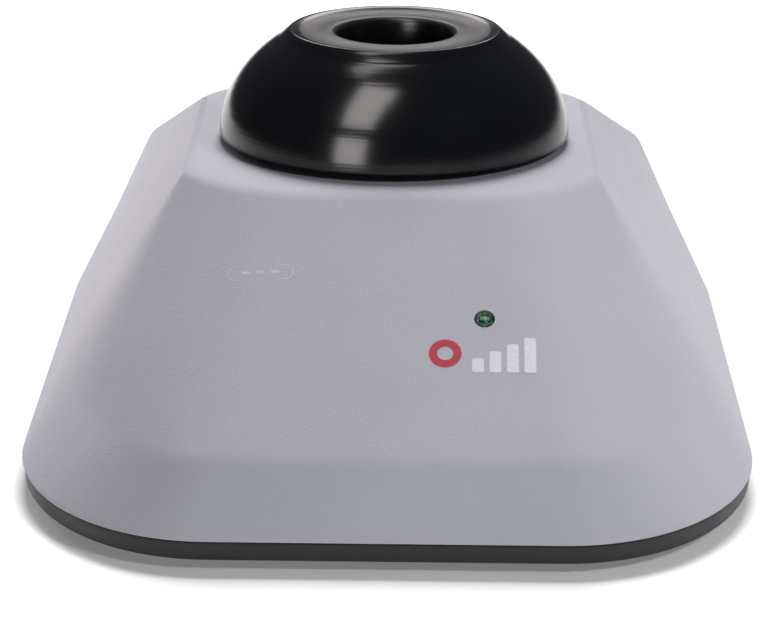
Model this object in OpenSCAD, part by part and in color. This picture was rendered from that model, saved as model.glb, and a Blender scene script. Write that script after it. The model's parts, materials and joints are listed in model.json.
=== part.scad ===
// Compact one-touch vortex mixer: a stepped, sloping housing on a ballasted base tray, a motor
// carriage that sinks on springs when the cup is pressed, and a cup that orbits on an eccentric.
// Millimetres, +Z up. The origin is on the table, under the middle of the housing's outline.
// The front face looks along -Y. The motor's axis is upright, at (0, motor_y).

/* [Body] */
// Width of the housing at its lower edge, along X
body_w = 110; // [104:1:118]
// Depth of the housing at its lower edge, along Y
body_d = 150; // [144:1:160]
// Height of the base tray's black rim
band_h = 3.1; // [2.6:0.1:3.6]
// How far the rubber feet stand out below the tray
foot_h = 1.5; // [1:0.1:2]
// Height of the soft crease around the housing, above the table
crease_z = 14.6; // [13:0.1:16]
// How far the crease is set in from the lower edge
crease_inset = 5.9; // [4:0.1:7]
// Height of the top deck above the table
deck_z = 43.8; // [43.5:0.1:44]
// Width of the top deck
deck_w = 62.4; // [60:0.1:66]
// Depth of the top deck
deck_d = 71.1; // [68:0.1:72]
// Height of the shoulder where the steep rear wall turns into the slope
shoulder_z = 27; // [24:0.1:30]
// Radius of the arcs that round the top deck's corners
deck_r = 20.6; // [19.6:0.1:24]
// Thickness of the housing's wall
wall = 2.4; // [2:0.1:2.8]

/* [Cup] */
// Radius of the rubber cup at its lower edge
cup_r = 27.4; // [26.8:0.1:28]
// Radius of the tube well at its mouth
well_r = 9.1; // [8:0.1:9.4]
// Radius of the ring around the dished top
ring_r = 16.6; // [15.5:0.1:17.5]

/* [Drive] */
// Throw of the eccentric: half of the orbit's diameter
orbit_r = 2; // [1.5:0.1:2]
// Direction of the eccentric at rest, from +X towards +Y
orbit_angle = -80; // [-90:5:0]
// How far the cup and carriage sink when pressed
press_travel = 0.8; // [0.6:0.1:0.8]
// Position of the motor's axis along Y
motor_y = 1.8; // [1:0.1:2.5]
// Radius of the motor's can
motor_r = 13.75; // [13:0.05:14]
// Number of balls in the bearing
ball_count = 7; // [6:1:8]

/* [Hidden] */
$fn = 48;
eps = 0.01;

// Heights of the base
tray_z = foot_h;
band_z = foot_h + band_h;
floor_z = tray_z + 2.4;
lip_z = band_z + 1.8;

// Gap left between the pressed cup and the deck
press_gap = 0.3;
cup_z = deck_z + press_travel + press_gap;

// Plan of the housing: front corners are elliptical and longer along Y, rear corners are tighter
edge_rx = 30;
edge_ry = 40;
edge_rear_rx = 24;
edge_rear_ry = 30;
crease_rx = 25.5;
crease_ry = 56;
crease_rear_r = 10;
rear_lean = 1.4;
shoulder_inset = 3.2;
shoulder_r = 6;
shoulder_swell = 1.8;
deck_y = 2.95;
deck_edge = 0.9;
deck_arc = 19.2;
corner_steps = 8;
half_w = body_w / 2;
half_d = body_d / 2;
crease_w = half_w - crease_inset;
crease_d = half_d - crease_inset;
crease_rear = half_d - rear_lean;
shoulder_rear = half_d - shoulder_inset;
shoulder_t = (shoulder_z - crease_z) / (deck_z - crease_z);
shoulder_w = crease_w * (1 - shoulder_t) + deck_w / 2 * shoulder_t + shoulder_swell;
deck_front = deck_d / 2 - deck_y;
deck_rear = deck_d / 2 + deck_y;
deck_under = deck_z - wall;
deck_flat = deck_w / 2 - deck_arc;

// Front face: a plane that leans back by face_tilt from flat
face_run = crease_d - deck_front;
face_rise = deck_z - crease_z;
face_tilt = atan2(face_rise, face_run);
led_x = 14;
led_up = 24.5;
led_r = 1.35;
emblem_x = 6;
emblem_up = 15.3;
emblem_h = 6.3;
badge_x = -18.7;
badge_up = 32.4;
badge_w = 9.8;
badge_h = 3;
mark_rise = 0.2;
mark_sink = 0.5;
mark_reach = 3;
tile = 4.7;

// Base fasteners, feet and guide posts
base_screw_x = 38;
base_screw_y = 48;
foot_x = 36;
foot_y = 34;
foot_r = 7;
post_x = 22;
post_dy = 14;
post_r = 1.5;
post_seat_z = 19.5;
stop_z = 32.55;
screw_core = 0.8;
bush_flange_z = 28.3;
spring_turns = 5;
spring_sides = 6;
spring_steps = 12;
spring_r = 2.9;
spring_wire_r = 0.4;
spring_low = post_seat_z + 0.05 + spring_wire_r;
spring_high = bush_flange_z - 0.05 - spring_wire_r;
spring_rings = spring_turns * spring_steps;

// Carriage and motor
plate_z = 29.5;
plate_t = 2;
bush_r = 3;
motor_z = 11.5;
shaft_r = 1.15;
shaft_run = 0.04;
motor_screw_x = 8;

// Eccentric, bearing and cup
hub_z = 32;
hub_h = 4;
hub_r = 7;
journal_r = 2;
journal_z = 36.6;
bearing_h = 5;
inner_race_r = 3.25;
outer_race_in = 5.35;
outer_race_r = 6.5;
ball_pitch_r = 4.3;
ball_r = 1.18;
ball_play = 0.07;
holder_r = 9;
holder_z = 36.4;
roof_z = 44;
flange_r = 13;
flange_z = cup_z;
flange_top = 46.8;
deck_hole_r = 12.6;
well_floor_z = 48.2;
crown_h = 20;
crown_steps = 14;
cup_edge = 0.3;
skirt_wall = 2.4;
hollow_h = 10;
core_r = well_r + 6;
ring_z = 61.4;
mouth_z = 60.9;

// Electronics at the rear
board_z = 10;
board_t = 1.6;
board_x = -14;
board_y = 44;
board_w = 36;
board_d = 24;
jack_x = 12;
jack_z = 9.9;
jack_wall_y = 70;
jack_pad = 4.5;
jack_r = 4;
switch_x = 24;
switch_z = 19.4;
switch_h = 7;
switch_w = 6;
switch_d = 13;
header_x = board_x + 10.25;
header_z = board_z + board_t + 2;
wire_r = 0.55;
wire_sides = 8;
wire_steps = 5;

// ---- helpers ----

// Every outline lists one point for each of the same outward directions, so that two outlines
// can be blended point by point. It starts at +X and runs anticlockwise.
front_starts = 2 * (corner_steps + 1);

// Elliptical corner, by outward direction
function corner(x, y, rx, ry, start) =
    [for (i = [0:corner_steps])
        let (a = start + 90 * i / corner_steps, reach = norm([rx * cos(a), ry * sin(a)]))
        [x + rx * rx * cos(a) / reach, y + ry * ry * sin(a) / reach]];

// Corner arc that a straight side cuts off where its direction reaches the limit
function cut_corner(x, y, r, limit, start) =
    [for (i = [0:corner_steps])
        let (c = min(abs(cos(start + 90 * i / corner_steps)), limit), s = sqrt(1 - c * c))
        [x + r * c * sign(x), y + r * s * (start < 180 ? 1 : -1)]];

function blend(a, b, t) = [for (i = [0:len(a) - 1]) a[i] * (1 - t) + b[i] * t];

// Closed outline with its own front and rear corner radii
function plan(w, front, rear, frx, fry, rrx, rry) = concat(
    corner(w - rrx, rear - rry, rrx, rry, 0),
    corner(rrx - w, rear - rry, rrx, rry, 90),
    corner(frx - w, fry - front, frx, fry, 180),
    corner(w - frx, fry - front, frx, fry, 270));

function edge_plan(inset) = plan(half_w - inset, half_d - inset, half_d - inset,
    edge_rx - inset, edge_ry - inset, edge_rear_rx - inset, edge_rear_ry - inset);

function crease_plan(inset) = plan(crease_w - inset, crease_d - inset, crease_rear - inset,
    crease_rx - inset, crease_ry - inset, crease_rear_r - inset, crease_rear_r - inset);

function deck_plan(inset) =
    let (r = deck_r - inset,
         limit = (deck_arc - inset) / r,
         front = deck_r - deck_front,
         rear = deck_rear - deck_r)
    concat(
        cut_corner(deck_flat, rear, r, limit, 0),
        cut_corner(-deck_flat, rear, r, limit, 90),
        cut_corner(-deck_flat, front, r, limit, 180),
        cut_corner(deck_flat, front, r, limit, 270));

// The front half lies on the slope from the crease to the deck, and the rear half stands out of it
function shoulder_plan(inset) =
    let (w = shoulder_w - inset - shoulder_r,
         rear = shoulder_rear - inset - shoulder_r,
         r = shoulder_r,
         slope = blend(crease_plan(inset), deck_plan(inset), shoulder_t))
    concat(
        corner(w, rear, r, r, 0),
        corner(-w, rear, r, r, 90),
        [for (i = [front_starts:len(slope) - 1]) slope[i]]);

// Outline of the slope between the shoulder and the deck
function slope_plan(inset, z) =
    blend(shoulder_plan(inset), deck_plan(inset), (z - shoulder_z) / (deck_z - shoulder_z));

// Outer profile of the cup: an ellipse that narrows from the lower edge to the ring
function crown_r(z) = cup_r * sqrt(1 - pow((z - cup_z) / crown_h, 2));

module slice(outline, z) {
    translate([0, 0, z]) linear_extrude(eps) polygon(outline);
}

module ring(inner, outer, z, h) {
    translate([0, 0, z]) difference() {
        cylinder(r = outer, h = h);
        translate([0, 0, -eps]) cylinder(r = inner, h = h + 2 * eps);
    }
}

// Places its children at the four corners of a rectangle
module at_corners(x, y) {
    for (sx = [-1, 1], sy = [-1, 1]) translate([sx * x, sy * y, 0]) children();
}

module at_posts() {
    translate([0, motor_y, 0]) at_corners(post_x, post_dy) children();
}

// Motor axis, and the journal's axis at rest
module on_motor() {
    translate([0, motor_y, 0]) children();
}

module on_journal() {
    on_motor() rotate(orbit_angle) translate([orbit_r, 0, 0]) children();
}

// Local frame on the front face: +Y runs up the slope and +Z points out of it
module on_face(x, up) {
    translate([x, up * cos(face_tilt) - crease_d, crease_z + up * sin(face_tilt)])
        rotate([face_tilt, 0, 0]) children();
}

// Countersunk-style screw pointing up from its head at z = 0
module screw_up(head_r, head_h, shank_r, length) {
    difference() {
        cylinder(r = head_r, h = head_h);
        translate([0, 0, -eps]) cylinder(r = head_r * 0.45, h = head_h * 0.6, $fn = 6);
    }
    translate([0, 0, head_h - eps]) cylinder(r = shank_r, h = length);
}

// Screw pointing down from its head, whose underside is at z = 0
module screw_down(head_r, head_h, shank_r, length) {
    difference() {
        cylinder(r = head_r, h = head_h);
        translate([0, 0, head_h * 0.4]) cylinder(r = head_r * 0.45, h = head_h, $fn = 6);
    }
    translate([0, 0, -length]) cylinder(r = shank_r, h = length + eps);
}

function unit(v) = v / norm(v);

// Point at t from 0 to 1 along the smooth curve between point i and the next one
function curve(p, i, t) =
    let (a = p[max(i - 1, 0)],
         b = p[i],
         c = p[i + 1],
         d = p[min(i + 2, len(p) - 1)])
    b + (c - a) * t / 2 + (a - 2.5 * b + 2 * c - d / 2) * t * t
        + (3 * b - a - 3 * c + d) * t * t * t / 2;

function smooth(p) = concat(
    [for (i = [0:len(p) - 2], s = [0:wire_steps - 1]) curve(p, i, s / wire_steps)],
    [p[len(p) - 1]]);

// Direction of the path at point i, between its neighbours
function heading(path, i) =
    unit(path[min(i + 1, len(path) - 1)] - path[max(i - 1, 0)]);

// A direction across the path at point i, carried along from its start without twist
function across(path, i) =
    let (ahead = heading(path, i),
         last = i == 0 ? [0.3, 0.2, 1] : across(path, i - 1))
    unit(last - ahead * (last * ahead));

// Insulated wire: one tube swept smoothly through a list of points
module wire(stations) {
    path = smooth(stations);
    last = len(path) - 1;
    points = [for (i = [0:last], j = [0:wire_sides - 1])
        let (u = across(path, i), v = cross(heading(path, i), u), turn = 360 * j / wire_sides)
        path[i] + wire_r * (u * cos(turn) + v * sin(turn))];
    sides = [for (i = [0:last - 1], j = [0:wire_sides - 1])
        let (k = (j + 1) % wire_sides)
        [i * wire_sides + j, (i + 1) * wire_sides + j,
         (i + 1) * wire_sides + k, i * wire_sides + k]];
    start_cap = [for (j = [0:wire_sides - 1]) j];
    end_cap = [for (j = [wire_sides - 1:-1:0]) last * wire_sides + j];
    polyhedron(points, concat(sides, [start_cap], [end_cap]));
}

// ---- housing and base ----

module shell_outside() {
    hull() {
        slice(edge_plan(0), band_z);
        slice(crease_plan(0), crease_z);
    }
    hull() {
        slice(crease_plan(0), crease_z);
        slice(shoulder_plan(0), shoulder_z);
    }
    hull() {
        slice(shoulder_plan(0), shoulder_z);
        slice(slope_plan(0, deck_z - deck_edge), deck_z - deck_edge);
        slice(deck_plan(deck_edge), deck_z - eps);
    }
}

module shell_inside() {
    hull() {
        slice(edge_plan(wall), band_z - 0.3);
        slice(crease_plan(wall), crease_z - 0.3);
    }
    hull() {
        slice(crease_plan(wall), crease_z - 0.3 - eps);
        slice(shoulder_plan(wall), shoulder_z - 0.3);
    }
    hull() {
        slice(shoulder_plan(wall), shoulder_z - 0.3 - eps);
        slice(deck_plan(wall), deck_under);
    }
}

// Space that bosses inside the housing may fill: it ends within the wall
module boss_space() {
    hull() {
        slice(edge_plan(wall / 2), band_z);
        slice(crease_plan(wall / 2), crease_z);
        slice(shoulder_plan(wall / 2), shoulder_z);
        slice(deck_plan(wall / 2), deck_z - wall / 2);
    }
}

// A thin skin that follows the front slope, for the marks on it
module skin() {
    difference() {
        front_slope(-mark_rise);
        front_slope(mark_sink);
    }
}

module front_slope(inset) {
    hull() {
        slice(crease_plan(inset), crease_z);
        slice(deck_plan(inset), deck_z);
    }
}

module top_housing() {
    color([0.68, 0.68, 0.72]) difference() {
        union() {
            difference() {
                shell_outside();
                shell_inside();
            }
            intersection() {
                boss_space();
                union() {
                    translate([0, 0, floor_z]) at_corners(base_screw_x, base_screw_y)
                        cylinder(r = 3.6, h = deck_z);
                    on_face(led_x, led_up) translate([0, 0, -9]) cylinder(r = 4.2, h = 9);
                    translate([jack_x - 8.5, jack_wall_y - jack_pad, band_z])
                        cube([17, half_d, 11.4]);
                }
            }
        }
        translate([0, 0, floor_z - eps]) at_corners(base_screw_x, base_screw_y)
            cylinder(r = 3.7, h = band_z - floor_z + 0.1);
        at_corners(base_screw_x, base_screw_y) cylinder(r = 1.2, h = 18);
        on_motor() translate([0, 0, deck_under - 1]) cylinder(r = deck_hole_r + 1.4, h = 5);
        on_face(led_x, led_up) translate([0, 0, -10]) cylinder(r = led_r + 0.1, h = 12);
        on_face(led_x, led_up) translate([0, 0, -10]) cylinder(r = 3, h = 8);
        translate([jack_x - 6.5, jack_wall_y, band_z + 0.6]) cube([13, half_d, 9.4]);
        translate([jack_x, jack_wall_y - 6, jack_z]) rotate([-90, 0, 0]) cylinder(r = jack_r, h = 8);
    }
}

module base_tray() {
    color([0.09, 0.09, 0.1]) difference() {
        union() {
            translate([0, 0, tray_z]) linear_extrude(floor_z - tray_z) polygon(edge_plan(0.4));
            translate([0, 0, tray_z]) linear_extrude(band_h) difference() {
                polygon(edge_plan(0.4));
                polygon(edge_plan(wall + 2));
            }
            translate([0, 0, tray_z]) linear_extrude(lip_z - tray_z) difference() {
                polygon(edge_plan(wall + 1.9));
                polygon(edge_plan(wall + 3.4));
            }
            translate([0, 0, floor_z - eps]) at_posts() cylinder(r = 4.2, h = post_seat_z - floor_z);
            translate([0, 0, floor_z - eps]) translate([board_x, board_y, 0])
                at_corners(board_w / 2 - 3, board_d / 2 - 3) cylinder(r = 2.4, h = board_z - floor_z);
            translate([0, 0, floor_z - eps]) at_corners(base_screw_x, base_screw_y)
                cylinder(r = 3.4, h = band_z - floor_z - 0.1);
        }
        at_posts() translate([0, 0, floor_z]) cylinder(r = post_r, h = deck_z);
        translate([board_x, board_y, 5]) at_corners(board_w / 2 - 3, board_d / 2 - 3)
            cylinder(r = screw_core, h = 8);
        at_corners(base_screw_x, base_screw_y) cylinder(r = 1.6, h = 20);
        at_corners(base_screw_x, base_screw_y) cylinder(r = 3.1, h = tray_z + 1.6);
        at_corners(foot_x, foot_y) cylinder(r = foot_r, h = tray_z + 0.9);
        translate([jack_x - 9.5, jack_wall_y - jack_pad - 0.9, band_z]) cube([19, 14, 10]);
        for (y = [-46, 18]) translate([0, y, tray_z + 0.8]) cylinder(r = 1.2, h = 4);
    }
}

module ballast_plate() {
    color([0.5, 0.51, 0.53]) difference() {
        translate([-32, -58, floor_z]) cube([64, 83, 3]);
        at_posts() cylinder(r = 4.6, h = 20);
        translate([18.5, motor_y - 8, 0]) cube([12, 16, 20]);
        for (y = [-46, 18]) translate([0, y, 0]) cylinder(r = 1.2, h = 20);
    }
}

module ballast_screws() {
    color([0.75, 0.75, 0.78])
        for (y = [-46, 18]) translate([0, y, floor_z + 3]) screw_down(2.4, 1.4, 1.2, 4.4);
}

module rubber_feet() {
    color([0.13, 0.13, 0.14]) at_corners(foot_x, foot_y) difference() {
        union() {
            cylinder(r = foot_r - 0.8, h = 0.5);
            translate([0, 0, 0.5 - eps]) cylinder(r = foot_r, h = tray_z + 0.4 + eps);
        }
        translate([0, 0, -eps]) cylinder(r = 2.5, h = 0.8);
    }
}

module base_screws() {
    color([0.7, 0.7, 0.72]) at_corners(base_screw_x, base_screw_y)
        translate([0, 0, tray_z]) screw_up(2.9, 1.6, 1.2, 12.5);
}

module deck_grommet() {
    color([0.08, 0.08, 0.09]) on_motor() {
        ring(deck_hole_r, deck_hole_r + 1.4, deck_under, deck_z - deck_under + 0.2);
        ring(deck_hole_r, deck_hole_r + 2.8, deck_under - 1.1, 1.1);
    }
}

// ---- press guide ----

module guide_posts() {
    color([0.8, 0.81, 0.83]) at_posts() difference() {
        translate([0, 0, floor_z]) cylinder(r = post_r, h = stop_z - floor_z);
        translate([0, 0, stop_z - 6]) cylinder(r = screw_core, h = 7);
    }
}

module stop_screws() {
    color([0.72, 0.72, 0.75]) at_posts() translate([0, 0, stop_z])
        screw_down(3.2, 1.6, screw_core, 5.6);
}

function spring_point(i, j) =
    let (turn = 360 * i / spring_steps,
         side = 360 * j / spring_sides,
         out = spring_r + spring_wire_r * cos(side),
         up = spring_low + (spring_high - spring_low) * i / spring_rings + spring_wire_r * sin(side))
    [out * cos(turn), out * sin(turn), up];

module press_spring() {
    points = [for (i = [0:spring_rings], j = [0:spring_sides - 1]) spring_point(i, j)];
    sides = [for (i = [0:spring_rings - 1], j = [0:spring_sides - 1])
        let (k = (j + 1) % spring_sides)
        [i * spring_sides + j, (i + 1) * spring_sides + j,
         (i + 1) * spring_sides + k, i * spring_sides + k]];
    start_cap = [for (j = [0:spring_sides - 1]) j];
    end_cap = [for (j = [0:spring_sides - 1]) spring_rings * spring_sides + spring_sides - 1 - j];
    polyhedron(points, concat(sides, [start_cap], [end_cap]));
}

module press_springs() {
    color([0.78, 0.79, 0.8]) at_posts() press_spring();
}

module motor_carriage() {
    color([0.62, 0.63, 0.65]) difference() {
        union() {
            translate([-28.5, motor_y - 19, plate_z]) cube([57, 38, plate_t]);
            for (y = [-19, 17.8]) translate([-18, motor_y + y, plate_z - 3]) cube([36, 1.2, 3 + eps]);
        }
        at_posts() translate([0, 0, plate_z - 1]) cylinder(r = bush_r, h = 5);
        on_motor() translate([0, 0, plate_z - 1]) cylinder(r = 4, h = 5);
        for (sx = [-1, 1]) translate([sx * motor_screw_x, motor_y, plate_z - 1])
            cylinder(r = 1.25, h = 5);
    }
}

module guide_bushes() {
    color([0.9, 0.88, 0.8]) at_posts() {
        ring(post_r + 0.06, bush_r, bush_flange_z, 4.2);
        ring(post_r + 0.06, 4, bush_flange_z, plate_z - bush_flange_z);
    }
}

// ---- motor ----

module motor_can() {
    color([0.74, 0.75, 0.77]) on_motor() difference() {
        union() {
            translate([0, 0, motor_z + 2]) cylinder(r = motor_r, h = plate_z - motor_z - 2);
            translate([0, 0, plate_z - eps]) cylinder(r = 4, h = 1.8);
        }
        translate([0, 0, motor_z]) cylinder(r = motor_r - 1, h = plate_z - motor_z - 1);
        cylinder(r = shaft_r + shaft_run, h = 50);
        for (sx = [-1, 1]) translate([sx * motor_screw_x, 0, plate_z - 1 - eps])
            cylinder(r = 1, h = 3);
    }
}

module motor_magnets() {
    color([0.2, 0.2, 0.22]) on_motor() difference() {
        translate([0, 0, motor_z + 3.2]) cylinder(r = motor_r - 1, h = 12.4);
        translate([0, 0, motor_z]) cylinder(r = motor_r - 3.2, h = 20);
        translate([-20, -3, 0]) cube([40, 6, 40]);
    }
}

module motor_end_cap() {
    color([0.12, 0.12, 0.13]) on_motor() difference() {
        union() {
            translate([0, 0, motor_z + 0.4]) cylinder(r = motor_r, h = 1.6);
            translate([0, 0, motor_z + 2 - eps]) cylinder(r = motor_r - 1, h = 1);
            translate([0, 0, motor_z - 1]) cylinder(r = 3.4, h = 1.4 + eps);
        }
        translate([0, 0, motor_z - 0.4]) cylinder(r = shaft_r + shaft_run, h = 20);
        for (sx = [-1, 1]) translate([sx * 9 - 0.4, -1.5, 0]) cube([0.8, 3, 40]);
    }
}

module motor_terminals() {
    color([0.83, 0.68, 0.35]) on_motor()
        for (sx = [-1, 1]) translate([sx * 9 - 0.4, -1.5, motor_z - 2]) cube([0.8, 3, 5.4]);
}

module motor_screws() {
    color([0.75, 0.75, 0.78]) for (sx = [-1, 1])
        translate([sx * motor_screw_x, motor_y, plate_z + plate_t]) screw_down(1.5, 0.3, 1, 2.9);
}

module motor_armature() {
    color([0.55, 0.35, 0.2]) on_motor() difference() {
        union() {
            translate([0, 0, motor_z + 6.6]) cylinder(r = 9.9, h = 8);
            translate([0, 0, motor_z + 5.4]) cylinder(r = 7.5, h = 10.4);
        }
        for (a = [0, 120, 240]) rotate(a) translate([7.8, -0.9, 0]) cube([4, 1.8, 60]);
        cylinder(r = shaft_r, h = 50);
    }
}

module commutator() {
    color([0.8, 0.5, 0.3]) on_motor() ring(shaft_r, 2.4, motor_z + 3.2, 2.2);
}

module motor_shaft() {
    color([0.85, 0.86, 0.88]) on_motor() translate([0, 0, motor_z - 0.3])
        cylinder(r = shaft_r, h = 35.6 - motor_z + 0.3);
}

// ---- eccentric, bearing and cup ----

module eccentric_hub() {
    color([0.78, 0.66, 0.36]) difference() {
        union() {
            on_motor() translate([0, 0, hub_z]) cylinder(r = hub_r, h = hub_h);
            on_motor() rotate(orbit_angle) intersection() {
                translate([0, 0, hub_z]) cylinder(r = 12, h = hub_h);
                translate([-20, -9, 0]) cube([20, 18, 60]);
            }
            on_journal() translate([0, 0, hub_z + hub_h - eps])
                cylinder(r = 3, h = journal_z - hub_z - hub_h + eps);
            on_journal() translate([0, 0, journal_z - eps]) cylinder(r = journal_r, h = bearing_h + eps);
        }
        on_motor() cylinder(r = shaft_r, h = 35.6);
        on_journal() translate([0, 0, journal_z + bearing_h - 3.6]) cylinder(r = screw_core, h = 5);
        on_motor() rotate(orbit_angle) translate([0, 0, hub_z + 1.8]) rotate([0, -90, 0])
            cylinder(r = 1, h = 13);
    }
}

module hub_set_screw() {
    color([0.25, 0.25, 0.27]) on_motor() rotate(orbit_angle) translate([-shaft_r, 0, hub_z + 1.8])
        rotate([0, -90, 0]) difference() {
            cylinder(r = 1, h = 3.4);
            translate([0, 0, 2.4]) cylinder(r = 0.55, h = 2, $fn = 6);
        }
}

module race_groove() {
    on_journal() translate([0, 0, journal_z + bearing_h / 2])
        rotate_extrude() translate([ball_pitch_r, 0]) circle(r = ball_r + ball_play);
}

module bearing_inner_race() {
    color([0.82, 0.83, 0.85]) difference() {
        on_journal() ring(journal_r, inner_race_r, journal_z, bearing_h);
        race_groove();
    }
}

module bearing_outer_race() {
    color([0.82, 0.83, 0.85]) difference() {
        on_journal() ring(outer_race_in, outer_race_r, journal_z, bearing_h);
        race_groove();
    }
}

module at_balls() {
    on_journal() for (i = [0:ball_count - 1]) rotate(360 * i / ball_count)
        translate([ball_pitch_r, 0, journal_z + bearing_h / 2]) children();
}

module bearing_balls() {
    color([0.9, 0.9, 0.92]) at_balls() sphere(r = ball_r, $fn = 32);
}

module bearing_cage() {
    color([0.72, 0.6, 0.32]) difference() {
        on_journal() ring(ball_pitch_r - 0.55, ball_pitch_r + 0.55, journal_z + 1.7, 2.6);
        at_balls() sphere(r = ball_r + 0.04, $fn = 32);
    }
}

module bearing_washer() {
    color([0.75, 0.75, 0.78]) on_journal() ring(screw_core, 3, journal_z + bearing_h, 0.5);
}

module bearing_screw() {
    color([0.6, 0.6, 0.63]) on_journal() translate([0, 0, journal_z + bearing_h + 0.5])
        screw_down(1.9, 1.2, screw_core, 3.7);
}

module cup_holder() {
    color([0.16, 0.16, 0.18]) on_journal() difference() {
        union() {
            translate([0, 0, holder_z]) cylinder(r = holder_r, h = flange_top - holder_z);
            translate([0, 0, flange_z]) cylinder(r = flange_r, h = flange_top - flange_z);
        }
        translate([0, 0, holder_z - 1])
            cylinder(r = outer_race_r, h = journal_z + bearing_h - holder_z + 1);
        translate([0, 0, holder_z]) cylinder(r = 5.2, h = roof_z - holder_z);
    }
}

module cup_section() {
    low = cup_z + cup_edge;
    high = ring_z - cup_edge;
    crown = [for (i = [crown_steps:-1:0])
        let (z = low + (high - low) * sin(90 * i / crown_steps)) [crown_r(z), z]];
    polygon(concat(
        [[flange_r, flange_z], [flange_r, flange_top], [0, flange_top], [0, well_floor_z],
         [well_r - 1.6, well_floor_z], [well_r, mouth_z - 0.6], [well_r + 0.5, mouth_z],
         [ring_r - 0.8, ring_z]],
        crown,
        [[cup_r - cup_edge, cup_z], [cup_r - skirt_wall, cup_z], [cup_r - 4, cup_z + 2.4],
         [cup_r - 5, cup_z + 7], [cup_r - 7.6, cup_z + hollow_h], [core_r, cup_z + hollow_h],
         [core_r, cup_z]]));
}

module rubber_cup() {
    color([0.05, 0.05, 0.06]) on_journal() rotate_extrude($fn = 96) cup_section();
}

// ---- electronics ----

module circuit_board() {
    color([0.1, 0.36, 0.2]) difference() {
        translate([board_x - board_w / 2, board_y - board_d / 2, board_z])
            cube([board_w, board_d, board_t]);
        translate([board_x, board_y, 0]) at_corners(board_w / 2 - 3, board_d / 2 - 3)
            cylinder(r = 1.2, h = 20);
    }
}

module board_screws() {
    color([0.75, 0.75, 0.78]) translate([board_x, board_y, board_z + board_t])
        at_corners(board_w / 2 - 3, board_d / 2 - 3) screw_down(1.8, 1.2, screw_core, 6);
}

module capacitors() {
    color([0.16, 0.18, 0.3]) for (x = [-9, -1.5])
        translate([board_x + x, board_y + 4.5, board_z + board_t]) cylinder(r = 3.1, h = 8);
}

module driver_chip() {
    color([0.1, 0.1, 0.1]) translate([board_x - 3, board_y - 7, board_z + board_t]) cube([6, 5, 1.7]);
}

module wire_header() {
    color([0.92, 0.91, 0.87]) translate([board_x + 7.5, board_y - 6, board_z + board_t]) difference() {
        cube([5.5, 12, 5.5]);
        for (i = [0:3]) translate([2.75, 1.8 + i * 2.8, 2]) cylinder(r = 0.7, h = 5);
    }
}

module dc_jack_body() {
    color([0.08, 0.08, 0.09]) translate([jack_x, jack_wall_y, jack_z]) rotate([-90, 0, 0]) difference() {
        union() {
            translate([0, 0, -9.5]) cylinder(r = jack_r - 0.05, h = 9.5 + eps);
            cylinder(r = 4.5, h = 1.2);
        }
        translate([0, 0, -7]) cylinder(r = 2.9, h = 10);
    }
}

module dc_jack_pin() {
    color([0.85, 0.85, 0.87]) translate([jack_x, jack_wall_y, jack_z]) rotate([-90, 0, 0]) {
        translate([0, 0, -7]) cylinder(r = 1, h = 6);
        translate([0, 0, -1]) sphere(r = 1, $fn = 24);
    }
}

module dc_jack_nut() {
    color([0.75, 0.75, 0.78]) translate([jack_x, jack_wall_y - jack_pad, jack_z]) rotate([90, 0, 0])
        difference() {
            cylinder(r = 5.2, h = 1.6, $fn = 6);
            translate([0, 0, -1]) cylinder(r = jack_r - 0.05, h = 4);
        }
}

module switch_body() {
    color([0.1, 0.1, 0.11]) difference() {
        translate([switch_x - switch_w / 2, motor_y - switch_d / 2, switch_z])
            cube([switch_w, switch_d, switch_h]);
        translate([switch_x - 1.1, motor_y - 1.6, switch_z + 4.2]) cube([2.2, 3.2, 5]);
        for (sy = [-1, 1]) translate([switch_x - 5, motor_y + sy * 4.6, switch_z + 2.2])
            rotate([0, 90, 0]) cylinder(r = screw_core, h = 12);
    }
}

module switch_plunger() {
    color([0.8, 0.2, 0.15]) translate([switch_x - 1, motor_y - 1.5, switch_z + 5.4])
        cube([2, 3, plate_z - 0.05 - switch_z - 5.4]);
}

module switch_bracket() {
    color([0.7, 0.71, 0.73]) difference() {
        union() {
            translate([switch_x + switch_w / 2, motor_y - 6.5, floor_z])
                cube([1, 13, switch_z + switch_h - floor_z]);
            translate([switch_x - 4.5, motor_y - 6.5, floor_z]) cube([8, 13, 1]);
        }
        for (sy = [-1, 1]) translate([switch_x, motor_y + sy * 4.6, switch_z + 2.2])
            rotate([0, 90, 0]) cylinder(r = screw_core, h = 12);
    }
}

module switch_screws() {
    color([0.75, 0.75, 0.78]) for (sy = [-1, 1])
        translate([switch_x - switch_w / 2, motor_y + sy * 4.6, switch_z + 2.2])
            rotate([0, -90, 0]) screw_down(1.5, 0.9, screw_core, 8);
}

module status_led() {
    color([0.12, 0.4, 0.22]) on_face(led_x, led_up) {
        translate([0, 0, -5.2]) cylinder(r = led_r, h = 4.6);
        translate([0, 0, -0.6]) intersection() {
            sphere(r = led_r, $fn = 32);
            translate([0, 0, -eps]) cylinder(r = 3, h = 1);
        }
        translate([0, 0, -5.2]) cylinder(r = led_r + 0.3, h = 0.9);
        for (sx = [-1, 1]) translate([sx * 0.8, 0, -8.2]) cylinder(r = 0.25, h = 3.1);
    }
}

module led_holder() {
    color([0.1, 0.1, 0.1]) on_face(led_x, led_up) {
        ring(led_r, 3, -4.3, 2.3);
        ring(led_r + 0.3, 3, -6, 1.7 + eps);
    }
}

// Generic mark: a round red dot pierced by a hole, then four grey bars of rising height
module emblem_red() {
    color([0.75, 0.3, 0.34]) intersection() {
        skin();
        on_face(emblem_x + tile / 2, emblem_up + emblem_h / 2) difference() {
            translate([0, 0, -mark_reach]) cylinder(r = tile / 2, h = 2 * mark_reach);
            translate([0, 0, -2 * mark_reach]) cylinder(r = tile / 4, h = 4 * mark_reach);
        }
    }
}

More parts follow.
